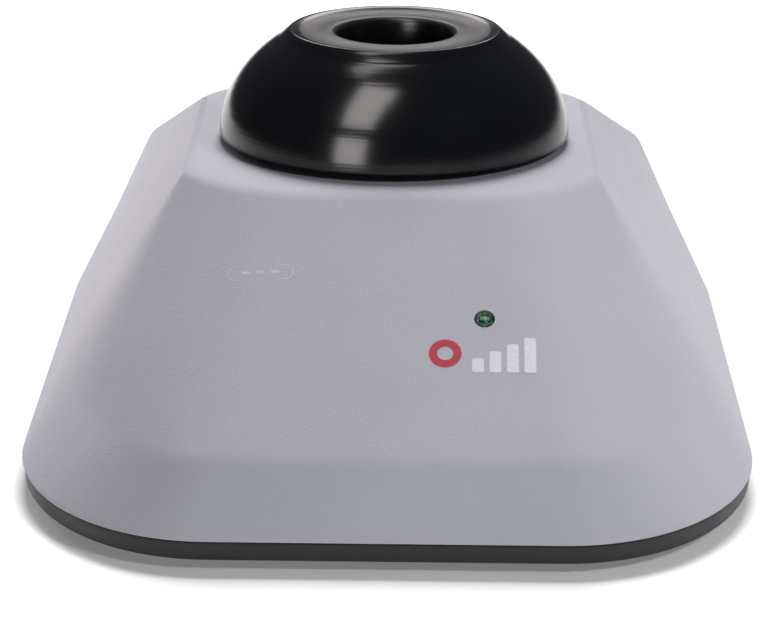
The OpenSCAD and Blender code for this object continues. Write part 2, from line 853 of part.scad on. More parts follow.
module emblem_grey() {
    color([0.84, 0.84, 0.86]) intersection() {
        skin();
        on_face(emblem_x, emblem_up) for (i = [0:3])
            translate([6.2 + i * 2.5, 0, -mark_reach]) cube([1.7, 2.4 + i * 1.2, 2 * mark_reach]);
    }
}

module badge_plate() {
    color([0.72, 0.72, 0.76]) intersection() {
        skin();
        on_face(badge_x, badge_up) translate([0, 0, -mark_reach]) badge_outline();
    }
}

// Pill-shaped frame around three dashes
module badge_outline() {
    difference() {
        badge_pill(0, 2 * mark_reach);
        translate([0, 0, -1]) badge_pill(0.3, 3 * mark_reach);
    }
    for (i = [-1:1]) translate([i * 2.2 - 0.6, -0.25, 0]) cube([1.2, 0.5, 2 * mark_reach]);
}

module badge_pill(inset, h) {
    r = badge_h / 2 - inset;
    for (sx = [-1, 1]) translate([sx * (badge_w - badge_h) / 2, 0, 0]) cylinder(r = r, h = h);
    translate([(badge_h - badge_w) / 2, -r, 0]) cube([badge_w - badge_h, 2 * r, h]);
}

// ---- wiring ----

module header_wire(pin, points) {
    start = [header_x, board_y - 4.2 + pin * 2.8, header_z];
    wire(concat([start, start + [0, 0, 4], start + [0, 0, 5.5]], points));
}

module power_wires() {
    color([0.7, 0.1, 0.1])
        header_wire(3, [[1, 51.5, 17.5], [5.5, 53.5, 13.5], [8.5, 56.4, 10.6],
            [jack_x - 2, 60.4, jack_z]]);
}

module motor_wires() {
    color([0.8, 0.7, 0.1])
        header_wire(1, [[2, 36, 16], [9, 24, 9], [9, motor_y + 2.4, 8.5]]);
}

module led_wires() {
    color([0.1, 0.3, 0.7])
        header_wire(0, [[-20, 34, 19], [-32, 26, 17], [-32, 0, 16], [-24, -38, 18],
            [8, -42, 17], [13.2, -44.6, 22.6]]);
}

module switch_wires() {
    color([0.85, 0.85, 0.85])
        header_wire(2, [[8, 38, 17.5], [29, 24, 14], [29, 12, 14], [24, 6, 18.6]]);
}

top_housing();
base_tray();
ballast_plate();
ballast_screws();
rubber_feet();
base_screws();
guide_posts();
stop_screws();
press_springs();
deck_grommet();
circuit_board();
board_screws();
capacitors();
driver_chip();
wire_header();
dc_jack_body();
dc_jack_pin();
dc_jack_nut();
switch_body();
switch_bracket();
switch_screws();
status_led();
led_holder();
emblem_red();
emblem_grey();
badge_plate();
power_wires();
motor_wires();
led_wires();
switch_wires();
motor_carriage();
guide_bushes();
motor_can();
motor_magnets();
motor_end_cap();
motor_terminals();
motor_screws();
motor_armature();
commutator();
motor_shaft();
eccentric_hub();
hub_set_screw();
bearing_inner_race();
bearing_screw();
bearing_washer();
bearing_balls();
bearing_cage();
bearing_outer_race();
cup_holder();
rubber_cup();
switch_plunger();
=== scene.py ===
"""Looks of the vortex mixer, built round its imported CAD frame.

Lengths in the design are millimetres. Lights and the floor are placed in metres.
"""
import json
import math

import bmesh
import bpy
from mathutils import Matrix, Vector
from mathutils.bvhtree import BVHTree


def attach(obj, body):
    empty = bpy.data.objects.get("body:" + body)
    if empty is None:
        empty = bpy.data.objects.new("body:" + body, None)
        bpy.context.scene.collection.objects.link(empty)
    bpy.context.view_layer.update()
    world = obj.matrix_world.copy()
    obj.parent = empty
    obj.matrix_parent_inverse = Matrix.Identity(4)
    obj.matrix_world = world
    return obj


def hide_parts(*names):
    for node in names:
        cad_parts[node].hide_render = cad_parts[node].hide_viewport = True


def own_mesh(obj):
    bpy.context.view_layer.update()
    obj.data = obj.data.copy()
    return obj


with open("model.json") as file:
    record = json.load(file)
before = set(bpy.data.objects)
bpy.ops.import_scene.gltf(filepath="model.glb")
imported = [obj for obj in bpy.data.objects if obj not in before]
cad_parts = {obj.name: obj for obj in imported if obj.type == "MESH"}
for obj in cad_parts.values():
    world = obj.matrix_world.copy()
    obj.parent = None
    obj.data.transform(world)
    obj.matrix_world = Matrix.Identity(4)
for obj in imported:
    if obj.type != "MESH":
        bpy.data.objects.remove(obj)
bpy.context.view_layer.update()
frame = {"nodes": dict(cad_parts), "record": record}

MM = 0.001

# Housing, as designed: outline sizes (half width, front depth, rear depth), radii and heights
EDGE_SIZE = (55.0, 75.0, 75.0)
EDGE_FRONT_RADII, EDGE_REAR_RADII = (30.0, 40.0), (24.0, 30.0)
CREASE_SIZE = (49.1, 69.1, 73.6)
CREASE_FRONT_RADII, CREASE_REAR_RADII = (25.5, 56.0), (10.0, 10.0)
SHOULDER_REAR, SHOULDER_R, SHOULDER_SWELL = 71.8, 6.0, 1.8
DECK_FRONT, DECK_REAR = 32.6, 38.5
DECK_R, DECK_ARC, DECK_FLAT = 20.6, 19.2, 12.0
TRAY_Z, FLOOR_Z, BAND_Z = 1.5, 3.9, 4.6
CREASE_Z, SHOULDER_Z, DECK_Z = 14.6, 27.0, 43.8
WALL = 2.4
MOTOR_Y = 1.8
DECK_HOLE_R = 14.0
FACE_TILT = math.atan2(DECK_Z - CREASE_Z, CREASE_SIZE[1] - DECK_FRONT)
QUARTER_STEPS = 24

# How far each bend of the housing reaches from its corner, and the ring that guards its flat side
EDGE_SOFT, CREASE_SOFT, SHOULDER_SOFT, DECK_SOFT, HOLE_SOFT = 0.4, 1.3, 2.4, 1.6, 0.3
GUARD = 0.7

# Places of the fixings, seen from above
BASE_SCREWS = [(x, y) for x in (-38, 38) for y in (-48, 48)]
GUIDE_POSTS = [(x, y) for x in (-22, 22) for y in (MOTOR_Y - 14, MOTOR_Y + 14)]
BOARD_POSTS = [(x, y) for x in (-29, 1) for y in (35, 53)]
FEET = [(x, y) for x in (-36, 36) for y in (-34, 34)]
BALLAST_SCREWS = [(0, y) for y in (-46, 18)]
JACK_X, JACK_Z = 12, 9.9

# Places on the front face: across it, and up its slope from the crease
LED_PLACE = (14, 24.5)
MARK_UP, RING_X, BARS_X = 15.3, 6, 12.2
BADGE_X, BADGE_UP = -18.7, 32.4

# Cup. A boss of its holder fills the socket; the hollow runs round the socket's wall
CUP_AXIS = (0.347, -0.170)
CUP_R, CUP_Z, CROWN_H = 27.4, 44.9, 20.0
RING_R, RING_Z, WELL_R, WELL_FLOOR, MOUTH_Z = 16.6, 61.4, 9.1, 48.2, 60.9
SOCKET_R, SOCKET_TOP = 13.0, 46.8
HOLLOW = [(15.1, CUP_Z), (15.1, 55.2), (19.8, 55.2), (22.4, 52.2), (23.4, 47.6), (25.0, CUP_Z)]
DISH_R, DISH_W = 14.0, 3.4

# Press springs, which stand on the tray's posts
SPRING_SEAT, SPRING_LOW, SPRING_HIGH = 19.5, 19.55, 28.25
SPRING_R, SPRING_WIRE_R = 2.9, 0.4
CLOSED_TURNS, OPEN_TURNS = 0.75, 5.0
CLOSED_PITCH, OPEN_PITCH = 0.82, 1.334

# Stage: the cup's light panels stand round a point in the cup, in metres. The camera's place is in
# millimetres, and its turn in degrees
PANEL_DISTANCE, PANEL_AIM_Z = 0.8, 0.05
CAMERA_PLACE = (3.85, -512.6, 177.4)
CAMERA_YAW, CAMERA_PITCH, CAMERA_ROLL = -0.47, 17.73, 0.48
CAMERA_LENS = 155.9


# ---- outlines of the housing ----

def quarter_sign(quarter):
    """Signs of x and y in a quarter, counted from rear right, anticlockwise."""
    return (1 if quarter in (0, 3) else -1), (1 if quarter in (0, 1) else -1)


def turns():
    """Each quarter with the outward directions through it, both ends included."""
    return [(quarter, math.radians(90 * (quarter + i / QUARTER_STEPS)))
            for quarter in range(4) for i in range(QUARTER_STEPS + 1)]


def rounded(size, front_radii, rear_radii, inset=0.0):
    """Points of an outline with elliptical corners, one for each outward direction."""
    half_w, front, rear = (length - inset for length in size)
    points = []
    for quarter, angle in turns():
        sx, sy = quarter_sign(quarter)
        depth, radii = (rear, rear_radii) if sy > 0 else (front, front_radii)
        rx, ry = (r - inset for r in radii)
        across, along = abs(math.cos(angle)), abs(math.sin(angle))
        reach = math.hypot(rx * across, ry * along)
        points.append((sx * (half_w - rx + rx * rx * across / reach),
                       sy * (depth - ry + ry * ry * along / reach)))
    return points


def edge_outline(inset=0.0):
    return rounded(EDGE_SIZE, EDGE_FRONT_RADII, EDGE_REAR_RADII, inset)


def crease_outline(inset=0.0):
    return rounded(CREASE_SIZE, CREASE_FRONT_RADII, CREASE_REAR_RADII, inset)


def deck_outline(inset=0.0):
    """The deck's straight sides cut its corner arcs off, so some directions share a point."""
    r, points = DECK_R - inset, []
    limit = (DECK_ARC - inset) / r
    for quarter, angle in turns():
        sx, sy = quarter_sign(quarter)
        across = min(abs(math.cos(angle)), limit)
        along = math.sqrt(1 - across * across)
        depth = DECK_REAR if sy > 0 else DECK_FRONT
        points.append((sx * (DECK_FLAT + r * across), sy * (depth - DECK_R + r * along)))
    return points


def shoulder_outline(inset=0.0):
    """The front half lies on the slope between crease and deck, and the rear half stands out."""
    t = (SHOULDER_Z - CREASE_Z) / (DECK_Z - CREASE_Z)
    slope = [(ax * (1 - t) + bx * t, ay * (1 - t) + by * t)
             for (ax, ay), (bx, by) in zip(crease_outline(inset), deck_outline(inset))]
    half_w = CREASE_SIZE[0] * (1 - t) + (DECK_FLAT + DECK_ARC) * t + SHOULDER_SWELL
    size = (half_w - inset, SHOULDER_REAR - inset, SHOULDER_REAR - inset)
    box = rounded(size, (SHOULDER_R, SHOULDER_R), (SHOULDER_R, SHOULDER_R))
    half = len(slope) // 2
    return box[:half] + slope[half:]


def level(outline, z):
    return [Vector((x, y, z)) for x, y in outline]


def toward(start, end, distance):
    """Each point of one ring moved a distance towards its partner in another."""
    return [a + (b - a).normalized() * distance for a, b in zip(start, end)]


def fillet(before, corner, after, steps):
    """Rings of a smooth bend from one ring to another that stays inside the corner between them."""
    rings = []
    for i in range(steps + 1):
        t = i / steps
        rings.append([a * (1 - t) ** 2 + b * 2 * t * (1 - t) + c * t * t
                      for a, b, c in zip(before, corner, after)])
    return rings


# ---- mesh helpers ----

def to_object(bm, name, sharp=35):
    """An object in metres from a mesh in millimetres, smooth but where faces meet sharply."""
    bmesh.ops.recalc_face_normals(bm, faces=bm.faces)
    bmesh.ops.scale(bm, vec=(MM, MM, MM), verts=bm.verts)
    mesh = bpy.data.meshes.new(name)
    bm.to_mesh(mesh)
    bm.free()
    obj = bpy.data.objects.new(name, mesh)
    bpy.context.collection.objects.link(obj)
    smooth(obj, sharp)
    return obj


def smooth(obj, sharp=35):
    obj.data.polygons.foreach_set("use_smooth", [True] * len(obj.data.polygons))
    obj.data.set_sharp_from_angle(angle=math.radians(sharp))


def skin_rings(bm, rings, closed_path=False, caps=True, near=1e-4):
    """Joins rings of equal length with faces, and merges points nearer than a distance.

    The ends are capped, unless the path of rings closes or caps are turned off.
    """
    rows = [[bm.verts.new(p) for p in ring] for ring in rings]
    pairs = list(zip(rows, rows[1:]))
    if closed_path:
        pairs.append((rows[-1], rows[0]))
    count = len(rows[0])
    for low, high in pairs:
        for i in range(count):
            k = (i + 1) % count
            bm.faces.new((low[i], low[k], high[k], high[i]))
    if caps and not closed_path:
        bm.faces.new(list(reversed(rows[0])))
        bm.faces.new(rows[-1])
    bmesh.ops.remove_doubles(bm, verts=bm.verts, dist=near)
    bmesh.ops.dissolve_degenerate(bm, edges=bm.edges, dist=near / 10)


def circle(radius, z, count, centre=(0.0, 0.0)):
    return [Vector((centre[0] + radius * math.cos(2 * math.pi * i / count),
                    centre[1] + radius * math.sin(2 * math.pi * i / count), z))
            for i in range(count)]


def lathe(name, profile, centre, count):
    """A solid of revolution about an upright axis. The profile starts and ends on the axis."""
    bm = bmesh.new()
    skin_rings(bm, [circle(r, z, count, centre) for r, z in profile], caps=False, near=1e-5)
    return to_object(bm, name, 40)


def rod(radius, start, end, count=48):
    """A closed cylinder between two points, in millimetres."""
    start, end = Vector(start), Vector(end)
    turn = Vector((0, 0, 1)).rotation_difference(end - start).to_matrix()
    length = (end - start).length
    bm = bmesh.new()
    skin_rings(bm, [[turn @ p + start for p in circle(radius, z, count)] for z in (0.0, length)])
    return to_object(bm, "rod")


def upright(radius, places, low, high):
    """Rods of one radius that stand between two heights."""
    return [rod(radius, (x, y, low), (x, y, high)) for x, y in places]


def block(low, high, bevel=0.0):
    """A closed box with rounded edges, in millimetres."""
    bm = bmesh.new()
    bmesh.ops.create_cube(bm, size=1.0)
    low, high = Vector(low), Vector(high)
    for v in bm.verts:
        v.co = Vector((low[k] + (v.co[k] + 0.5) * (high[k] - low[k]) for k in range(3)))
    if bevel:
        bmesh.ops.bevel(bm, geom=list(bm.edges), offset=bevel, segments=3, affect="EDGES",
                        profile=0.5)
    return to_object(bm, "block")


def settle(obj):
    """Applies an object's modifiers to its mesh."""
    graph = bpy.context.evaluated_depsgraph_get()
    graph.update()
    fresh = bpy.data.meshes.new_from_object(obj.evaluated_get(graph))
    obj.modifiers.clear()
    old, obj.data = obj.data, fresh
    bpy.data.meshes.remove(old)


def carve(obj, tool, operation="DIFFERENCE"):
    """Cuts, joins or meets an object with a tool, which is used up."""
    change = obj.modifiers.new("carve", "BOOLEAN")
    change.operation = operation
    change.solver = "EXACT"
    change.object = tool
    settle(obj)
    mesh = tool.data
    bpy.data.objects.remove(tool)
    bpy.data.meshes.remove(mesh)


def join(objects):
    """One object out of several separate closed pieces."""
    bm = bmesh.new()
    for obj in objects:
        bm.from_mesh(obj.data)
        mesh = obj.data
        bpy.data.objects.remove(obj)
        bpy.data.meshes.remove(mesh)
    mesh = bpy.data.meshes.new("joined")
    bm.to_mesh(mesh)
    bm.free()
    obj = bpy.data.objects.new("joined", mesh)
    bpy.context.collection.objects.link(obj)
    return obj


def on_face(x, up, out=0.0):
    """A point on the flat front face: across it, up its slope, and out of it."""
    return Vector((x,
                   up * math.cos(FACE_TILT) - CREASE_SIZE[1] - out * math.sin(FACE_TILT),
                   CREASE_Z + up * math.sin(FACE_TILT) + out * math.cos(FACE_TILT)))


# ---- materials ----

class Nodes:
    """A small helper that builds one procedural material."""

    def __init__(self, name):
        self.material = bpy.data.materials.new(name)
        self.material.use_nodes = True
        self.tree = self.material.node_tree
        self.tree.nodes.clear()
        self.out = self.add("ShaderNodeOutputMaterial")
        self.shader = self.add("ShaderNodeBsdfPrincipled")
        self.link(self.shader.outputs["BSDF"], self.out.inputs["Surface"])
        self.place = self.add("ShaderNodeTexCoord").outputs["Object"]

    def add(self, kind, **values):
        node = self.tree.nodes.new(kind)
        for key, value in values.items():
            setattr(node, key, value)
        return node

    def link(self, source, target):
        self.tree.links.new(source, target)

    def noise(self, scale, detail=3.0, roughness=0.55, stretch=None):
        """Noise whose features are about 1/scale metres across."""
        node = self.add("ShaderNodeTexNoise")
        node.inputs["Scale"].default_value = scale
        node.inputs["Detail"].default_value = detail
        node.inputs["Roughness"].default_value = roughness
        if stretch:
            mapping = self.add("ShaderNodeMapping")
            mapping.inputs["Scale"].default_value = stretch
            self.link(self.place, mapping.inputs["Vector"])
            self.link(mapping.outputs["Vector"], node.inputs["Vector"])
        else:
            self.link(self.place, node.inputs["Vector"])
        return node.outputs["Fac"]

    def ramp(self, source, low, high, start=0.0, end=1.0):
        """Maps a value from the span low to high onto the span start to end."""
        node = self.add("ShaderNodeMapRange")
        node.inputs["From Min"].default_value = low
        node.inputs["From Max"].default_value = high
        node.inputs["To Min"].default_value = start
        node.inputs["To Max"].default_value = end
        self.link(source, node.inputs["Value"])
        return node.outputs["Result"]

    def blend(self, factor, first, second):
        """A colour between two colours."""
        node = self.add("ShaderNodeMix", data_type="RGBA")
        self.link(factor, node.inputs["Factor"])
        node.inputs["A"].default_value = (*first, 1.0)
        node.inputs["B"].default_value = (*second, 1.0)
        return node.outputs["Result"]

    def maths(self, operation, *values):
        node = self.add("ShaderNodeMath", operation=operation)
        for socket, value in zip(node.inputs, values):
            if isinstance(value, (int, float)):
                socket.default_value = value
            else:
                self.link(value, socket)
        return node.outputs["Value"]

    def bump(self, height, strength, distance, under=None):
        node = self.add("ShaderNodeBump")
        node.inputs["Strength"].default_value = strength
        node.inputs["Distance"].default_value = distance
        self.link(height, node.inputs["Height"])
        if under is not None:
            self.link(under, node.inputs["Normal"])
        return node.outputs["Normal"]

    def set(self, **values):
        for key, value in values.items():
            socket = self.shader.inputs[key.replace("_", " ")]
            if isinstance(value, (int, float, tuple)):
                socket.default_value = value
            else:
                self.link(value, socket)


def tinted(colour, factor):
    return tuple(min(c * factor, 1.0) for c in colour)


def plastic(name, colour, roughness=0.5, grain=2200.0, depth=0.00002, strength=0.35, spread=0.06):
    """Moulded plastic or rubber: a fine grain, and slow changes of tone and gloss."""
    m = Nodes(name)
    tone = m.noise(60.0, 4.0)
    m.set(Base_Color=m.blend(m.ramp(tone, 0.3, 0.7), tinted(colour, 1 - spread),
                             tinted(colour, 1 + spread)),
          Roughness=m.ramp(m.noise(140.0, 3.0), 0.3, 0.7, roughness - 0.05, roughness + 0.05),
          Normal=m.bump(m.noise(grain, 2.0), strength, depth))
    return m.material


def metal(name, colour, roughness=0.3, stretch=(1.0, 1.0, 14.0), scale=900.0, spread=0.12):
    """Turned, drawn or plated metal: fine streaks in colour, gloss and height."""
    m = Nodes(name)
    streaks = m.noise(scale, 3.0, 0.6, stretch)
    cloud = m.noise(90.0, 4.0)
    m.set(Base_Color=m.blend(m.ramp(m.maths("ADD", streaks, cloud), 0.7, 1.3),
                             tinted(colour, 1 - spread), tinted(colour, 1 + spread)),
          Roughness=m.ramp(streaks, 0.3, 0.7, roughness - 0.07, roughness + 0.09),
          Normal=m.bump(streaks, 0.12, 0.00001),
          Metallic=1.0)
    return m.material


def housing_material():
    """Satin moulded plastic with a very fine leathery grain."""
    m = Nodes("housing_plastic")
    cells = m.add("ShaderNodeTexVoronoi", feature="SMOOTH_F1")
    cells.inputs["Scale"].default_value = 2700.0
    cells.inputs["Smoothness"].default_value = 0.6
    m.link(m.place, cells.inputs["Vector"])
    pebble = m.bump(cells.outputs["Distance"], 0.6, 0.00006)
    grain = m.bump(m.noise(4200.0, 3.0), 0.4, 0.00003, pebble)
    tone = m.noise(45.0, 5.0)
    m.set(Base_Color=m.blend(m.ramp(tone, 0.3, 0.7), (0.440, 0.434, 0.474), (0.466, 0.460, 0.500)),
          Roughness=m.ramp(m.noise(1500.0, 3.0), 0.25, 0.75, 0.42, 0.56),
          Normal=grain)
    return m.material


def cup_material():
    """Satin black rubber. Its dished top was turned, which leaves fine rings round its axis."""
    m = Nodes("cup_rubber")
    split = m.add("ShaderNodeSeparateXYZ")
    m.link(m.place, split.inputs["Vector"])
    dx = m.maths("SUBTRACT", split.outputs["X"], CUP_AXIS[0] * MM)
    dy = m.maths("SUBTRACT", split.outputs["Y"], CUP_AXIS[1] * MM)
    radius = m.maths("SQRT", m.maths("ADD", m.maths("MULTIPLY", dx, dx),
                                     m.maths("MULTIPLY", dy, dy)))
    inside = m.ramp(radius, 0.0152, 0.0146)
    outside_well = m.ramp(radius, 0.0088, 0.0094)
    dish = m.maths("MULTIPLY", inside, outside_well)
    ring_spacing = 0.00042
    turned = m.maths("SINE", m.maths("MULTIPLY", radius, 2 * math.pi / ring_spacing))
    uneven = m.maths("MULTIPLY", turned, m.ramp(m.noise(500.0, 3.0), 0.2, 0.8, 0.4, 1.0))
    lathe_marks = m.maths("MULTIPLY", uneven, dish)
    bands = m.noise(420.0, 4.0, 0.7, (0.02, 0.02, 4.0))
    rings = m.bump(lathe_marks, 0.5, 0.00002)
    banded = m.bump(bands, 0.45, 0.00005, rings)
    grain = m.bump(m.noise(3000.0, 2.0), 0.15, 0.00001, banded)
    m.set(Base_Color=m.blend(dish, (0.0045, 0.005, 0.0065), (0.016, 0.017, 0.020)),
          Roughness=m.ramp(dish, 0.0, 1.0, 0.17, 0.36),
          Normal=grain, Specular_IOR_Level=0.35)
    return m.material


def lens_material():
    """Dark green tinted lens, with a glint painted into its colour as light green spots."""
    m = Nodes("led_lens")
    painted_glint_cells = m.add("ShaderNodeTexVoronoi")
    painted_glint_cells.inputs["Scale"].default_value = 1100.0
    m.link(m.place, painted_glint_cells.inputs["Vector"])
    # Light green spots round the Voronoi cells' centres are a painted glint, not a colour of the
    # lens.
    m.set(Base_Color=m.blend(m.ramp(painted_glint_cells.outputs["Distance"], 0.1, 0.55),
                             (0.30, 0.52, 0.36), (0.008, 0.05, 0.02)),
          Roughness=0.12, Coat_Weight=1.0, Coat_Roughness=0.05)
    return m.material


def ink(name, colour):
    """Pad-printed ink: even, slightly glossier than the plastic, with faint pinholes."""
    m = Nodes(name)
    specks = m.noise(2600.0, 3.0)
    m.set(Base_Color=m.blend(m.ramp(specks, 0.25, 0.6), tinted(colour, 0.86), colour),
          Roughness=m.ramp(specks, 0.3, 0.7, 0.36, 0.5),
          Normal=m.bump(m.noise(2300.0, 2.0), 0.2, 0.00002))
    return m.material


MATERIALS = {
    "housing_grey": housing_material(),
    "tray_black": plastic("tray_plastic", (0.016, 0.016, 0.017), 0.55, 1800.0),
    "cup_rubber": cup_material(),
    "foot_rubber": plastic("foot_rubber", (0.02, 0.02, 0.021), 0.7, 1500.0, 0.00003, 0.5),
    "zinc_steel": metal("zinc_sheet", (0.60, 0.61, 0.62), 0.34, (1.0, 12.0, 1.0)),
    "screw_steel": metal("screw_steel", (0.62, 0.62, 0.64), 0.28),
    "bright_steel": metal("ground_steel", (0.74, 0.75, 0.77), 0.16),
    "spring_steel": metal("spring_wire", (0.62, 0.63, 0.65), 0.25, (6.0, 6.0, 1.0)),
    "magnet_grey": plastic("ferrite", (0.055, 0.055, 0.06), 0.55, 900.0, 0.00004, 0.5, 0.2),
    "winding_copper": metal("winding", (0.60, 0.27, 0.13), 0.35, (1.0, 1.0, 20.0)),
    "brass_part": metal("brass", (0.72, 0.55, 0.25), 0.26),
    "board_green": plastic("solder_mask", (0.02, 0.13, 0.055), 0.3, 700.0, 0.00002, 0.3, 0.15),
    "capacitor_sleeve": plastic("sleeve", (0.03, 0.035, 0.085), 0.3, 600.0),
    "moulded_black": plastic("moulded_black", (0.02, 0.02, 0.022), 0.42, 1600.0),
    "header_nylon": plastic("natural_nylon", (0.74, 0.71, 0.63), 0.45, 1200.0),
    "bush_nylon": plastic("acetal", (0.74, 0.71, 0.60), 0.4, 1200.0),
    "led_green": lens_material(),
    "print_red": ink("ink_red", (0.51, 0.072, 0.10)),
    "print_grey": ink("ink_grey", (0.74, 0.74, 0.78)),
    "badge_grey": ink("badge_ink", (0.60, 0.59, 0.64)),
    "wire_red": plastic("wire_red", (0.45, 0.02, 0.02), 0.4, 1500.0),
    "wire_yellow": plastic("wire_yellow", (0.62, 0.45, 0.03), 0.4, 1500.0),
    "wire_blue": plastic("wire_blue", (0.03, 0.08, 0.42), 0.4, 1500.0),
    "wire_white": plastic("wire_white", (0.70, 0.70, 0.69), 0.4, 1500.0),
    "plunger_red": plastic("plunger_red", (0.55, 0.05, 0.035), 0.35, 1500.0),
}

SLOT_OF = {part["node"]: part["material_slot"] for part in frame["record"]["subparts"]}


def wear(obj, slot_name):
    """Gives an object the material of a slot in place of what it had."""
    obj.data.materials.clear()
    obj.data.materials.append(MATERIALS[slot_name])


def stand_for(obj, node, body, name):
    """A finished piece takes a CAD node's place, slot and body."""
    obj.name = name
    obj.data.name = name
    wear(obj, SLOT_OF[node])
    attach(obj, body)
    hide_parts(node)
    return obj


# ---- housing ----

def outer_rings():
    """Rings up the outside of the housing, from its lower edge to the deck's border."""
    edge = level(edge_outline(), BAND_Z)
    crease = level(crease_outline(), CREASE_Z)
    shoulder = level(shoulder_outline(), SHOULDER_Z)
    rim = level(deck_outline(), DECK_Z)
    rim_in = level(deck_outline(DECK_SOFT), DECK_Z)
    rings = fillet(level(edge_outline(EDGE_SOFT), BAND_Z), edge,
                   toward(edge, crease, EDGE_SOFT), 3)
    rings.append(toward(edge, crease, EDGE_SOFT + GUARD))
    rings.append(toward(crease, edge, CREASE_SOFT + GUARD))
    rings += fillet(toward(crease, edge, CREASE_SOFT), crease,
                    toward(crease, shoulder, CREASE_SOFT), 6)
    rings.append(toward(crease, shoulder, CREASE_SOFT + GUARD))
    rings.append(toward(shoulder, crease, SHOULDER_SOFT + GUARD))
    rings += fillet(toward(shoulder, crease, SHOULDER_SOFT), shoulder,
                    toward(shoulder, rim, SHOULDER_SOFT), 6)
    rings.append(toward(shoulder, rim, SHOULDER_SOFT + GUARD))
    rings.append(toward(rim, shoulder, DECK_SOFT + GUARD))
    rings += fillet(toward(rim, shoulder, DECK_SOFT), rim, rim_in, 8)
    rings.append(level(deck_outline(DECK_SOFT + GUARD), DECK_Z))
    return rings


def hole_ring(radius, z):
    """Points of the deck's round hole, in line with the points of the deck's border."""
    points = []
    for x, y in deck_outline(DECK_SOFT + GUARD):
        angle = math.atan2(y - MOTOR_Y, x)
        points.append(Vector((radius * math.cos(angle), MOTOR_Y + radius * math.sin(angle), z)))
    return points


def solid_inside(inset):
    """A closed body a little inside the housing's outer surface."""
    bm = bmesh.new()
    skin_rings(bm, [level(edge_outline(inset), BAND_Z - 2), level(edge_outline(inset), BAND_Z),
                    level(crease_outline(inset), CREASE_Z - 0.2),
                    level(shoulder_outline(inset), SHOULDER_Z - 0.3),
                    level(deck_outline(inset), DECK_Z - inset)])
    return to_object(bm, "inside")


def make_housing():
    bm = bmesh.new()
    deck_under = DECK_Z - WALL
    rings = [level(edge_outline(WALL), BAND_Z)]
    rings += outer_rings()
    rings.append(hole_ring(DECK_HOLE_R + 4 * HOLE_SOFT, DECK_Z))
    rings += fillet(hole_ring(DECK_HOLE_R + HOLE_SOFT, DECK_Z), hole_ring(DECK_HOLE_R, DECK_Z),
                    hole_ring(DECK_HOLE_R, DECK_Z - HOLE_SOFT), 3)
    rings.append(hole_ring(DECK_HOLE_R, deck_under))
    rings.append(level(deck_outline(WALL), deck_under))
    rings.append(level(shoulder_outline(WALL), SHOULDER_Z - 0.3))
    rings.append(level(crease_outline(WALL), CREASE_Z - 0.3))
    skin_rings(bm, rings, closed_path=True)
    housing = to_object(bm, "housing")

    led_boss = rod(4.2, on_face(*LED_PLACE, -9), on_face(*LED_PLACE, 3))
    jack_pad = block((JACK_X - 8.5, 65.5, BAND_Z + 0.1), (JACK_X + 8.5, 80, 16))
    bosses = join(upright(3.6, BASE_SCREWS, BAND_Z, 40) + [led_boss, jack_pad])
    carve(bosses, solid_inside(WALL / 2), "INTERSECT")
    carve(housing, bosses, "UNION")
    cuts = upright(1.2, BASE_SCREWS, 0, 18)
    cuts.append(rod(1.5, on_face(*LED_PLACE, -12), on_face(*LED_PLACE, 3)))
    cuts.append(rod(3.0, on_face(*LED_PLACE, -12), on_face(*LED_PLACE, -2)))
    cuts.append(block((JACK_X - 6.5, 70, BAND_Z + 0.6), (JACK_X + 6.5, 90, BAND_Z + 10), 1.2))
    cuts.append(rod(4.0, (JACK_X, 60, JACK_Z), (JACK_X, 76, JACK_Z)))
    for tool in cuts:
        carve(housing, tool)
    smooth(housing)
    return stand_for(housing, "top_housing", "housing", "housing_shell")


def make_tray():
    bm = bmesh.new()
    bottom_in = 5.5
    rings = [
        level(edge_outline(bottom_in + 1.6), TRAY_Z),
        level(edge_outline(bottom_in + 1.3), TRAY_Z + 0.5),
        level(edge_outline(bottom_in + 0.3), TRAY_Z + 0.5),
        level(edge_outline(bottom_in), TRAY_Z),
    ]
    rings += fillet(level(edge_outline(1.5), TRAY_Z), level(edge_outline(0.7), TRAY_Z),
                    level(edge_outline(0.5), TRAY_Z + 0.8), 5)
    rings += fillet(level(edge_outline(0.42), BAND_Z - 0.5), level(edge_outline(0.4), BAND_Z),
                    level(edge_outline(0.8), BAND_Z), 3)
    lip_outside, lip_inside, lip_z = WALL + 1.9, WALL + 3.4, BAND_Z + 1.8
    rings += [
        level(edge_outline(lip_outside), BAND_Z),
        level(edge_outline(lip_outside), lip_z),
        level(edge_outline(lip_inside), lip_z),
        level(edge_outline(lip_inside), FLOOR_Z),
    ]
    skin_rings(bm, rings)
    tray = to_object(bm, "tray")
    root = FLOOR_Z - 0.5
    posts = upright(4.2, GUIDE_POSTS, root, SPRING_SEAT)
    posts += upright(2.4, BOARD_POSTS, root, 10)
    posts += upright(3.4, BASE_SCREWS, root, BAND_Z - 0.1)
    carve(tray, join(posts), "UNION")
    holes = upright(1.5, GUIDE_POSTS, FLOOR_Z, 30)
    holes += upright(0.8, BOARD_POSTS, 5, 13)
    holes += upright(7.0, FEET, 0, 2.4)
    holes += upright(1.2, BALLAST_SCREWS, TRAY_Z + 0.8, 8)
    carve(tray, join(holes))
    carve(tray, join(upright(1.6, BASE_SCREWS, 2.6, 20)))
    carve(tray, join(upright(3.1, BASE_SCREWS, 0, 3.1)))
    jack_gap = block((JACK_X - 9.5, 64.6, BAND_Z), (JACK_X + 9.5, 82, 20))
    carve(tray, jack_gap)
    label_recess = block((-19, 30, 0), (19, 54, TRAY_Z + 0.35), 0.3)
    carve(tray, label_recess)
    smooth(tray)
    return stand_for(tray, "base_tray", "housing", "base_tray_shell")


# ---- cup ----

def crown_r(z):
    return CUP_R * math.sqrt(max(0.0, 1 - ((z - CUP_Z) / CROWN_H) ** 2))


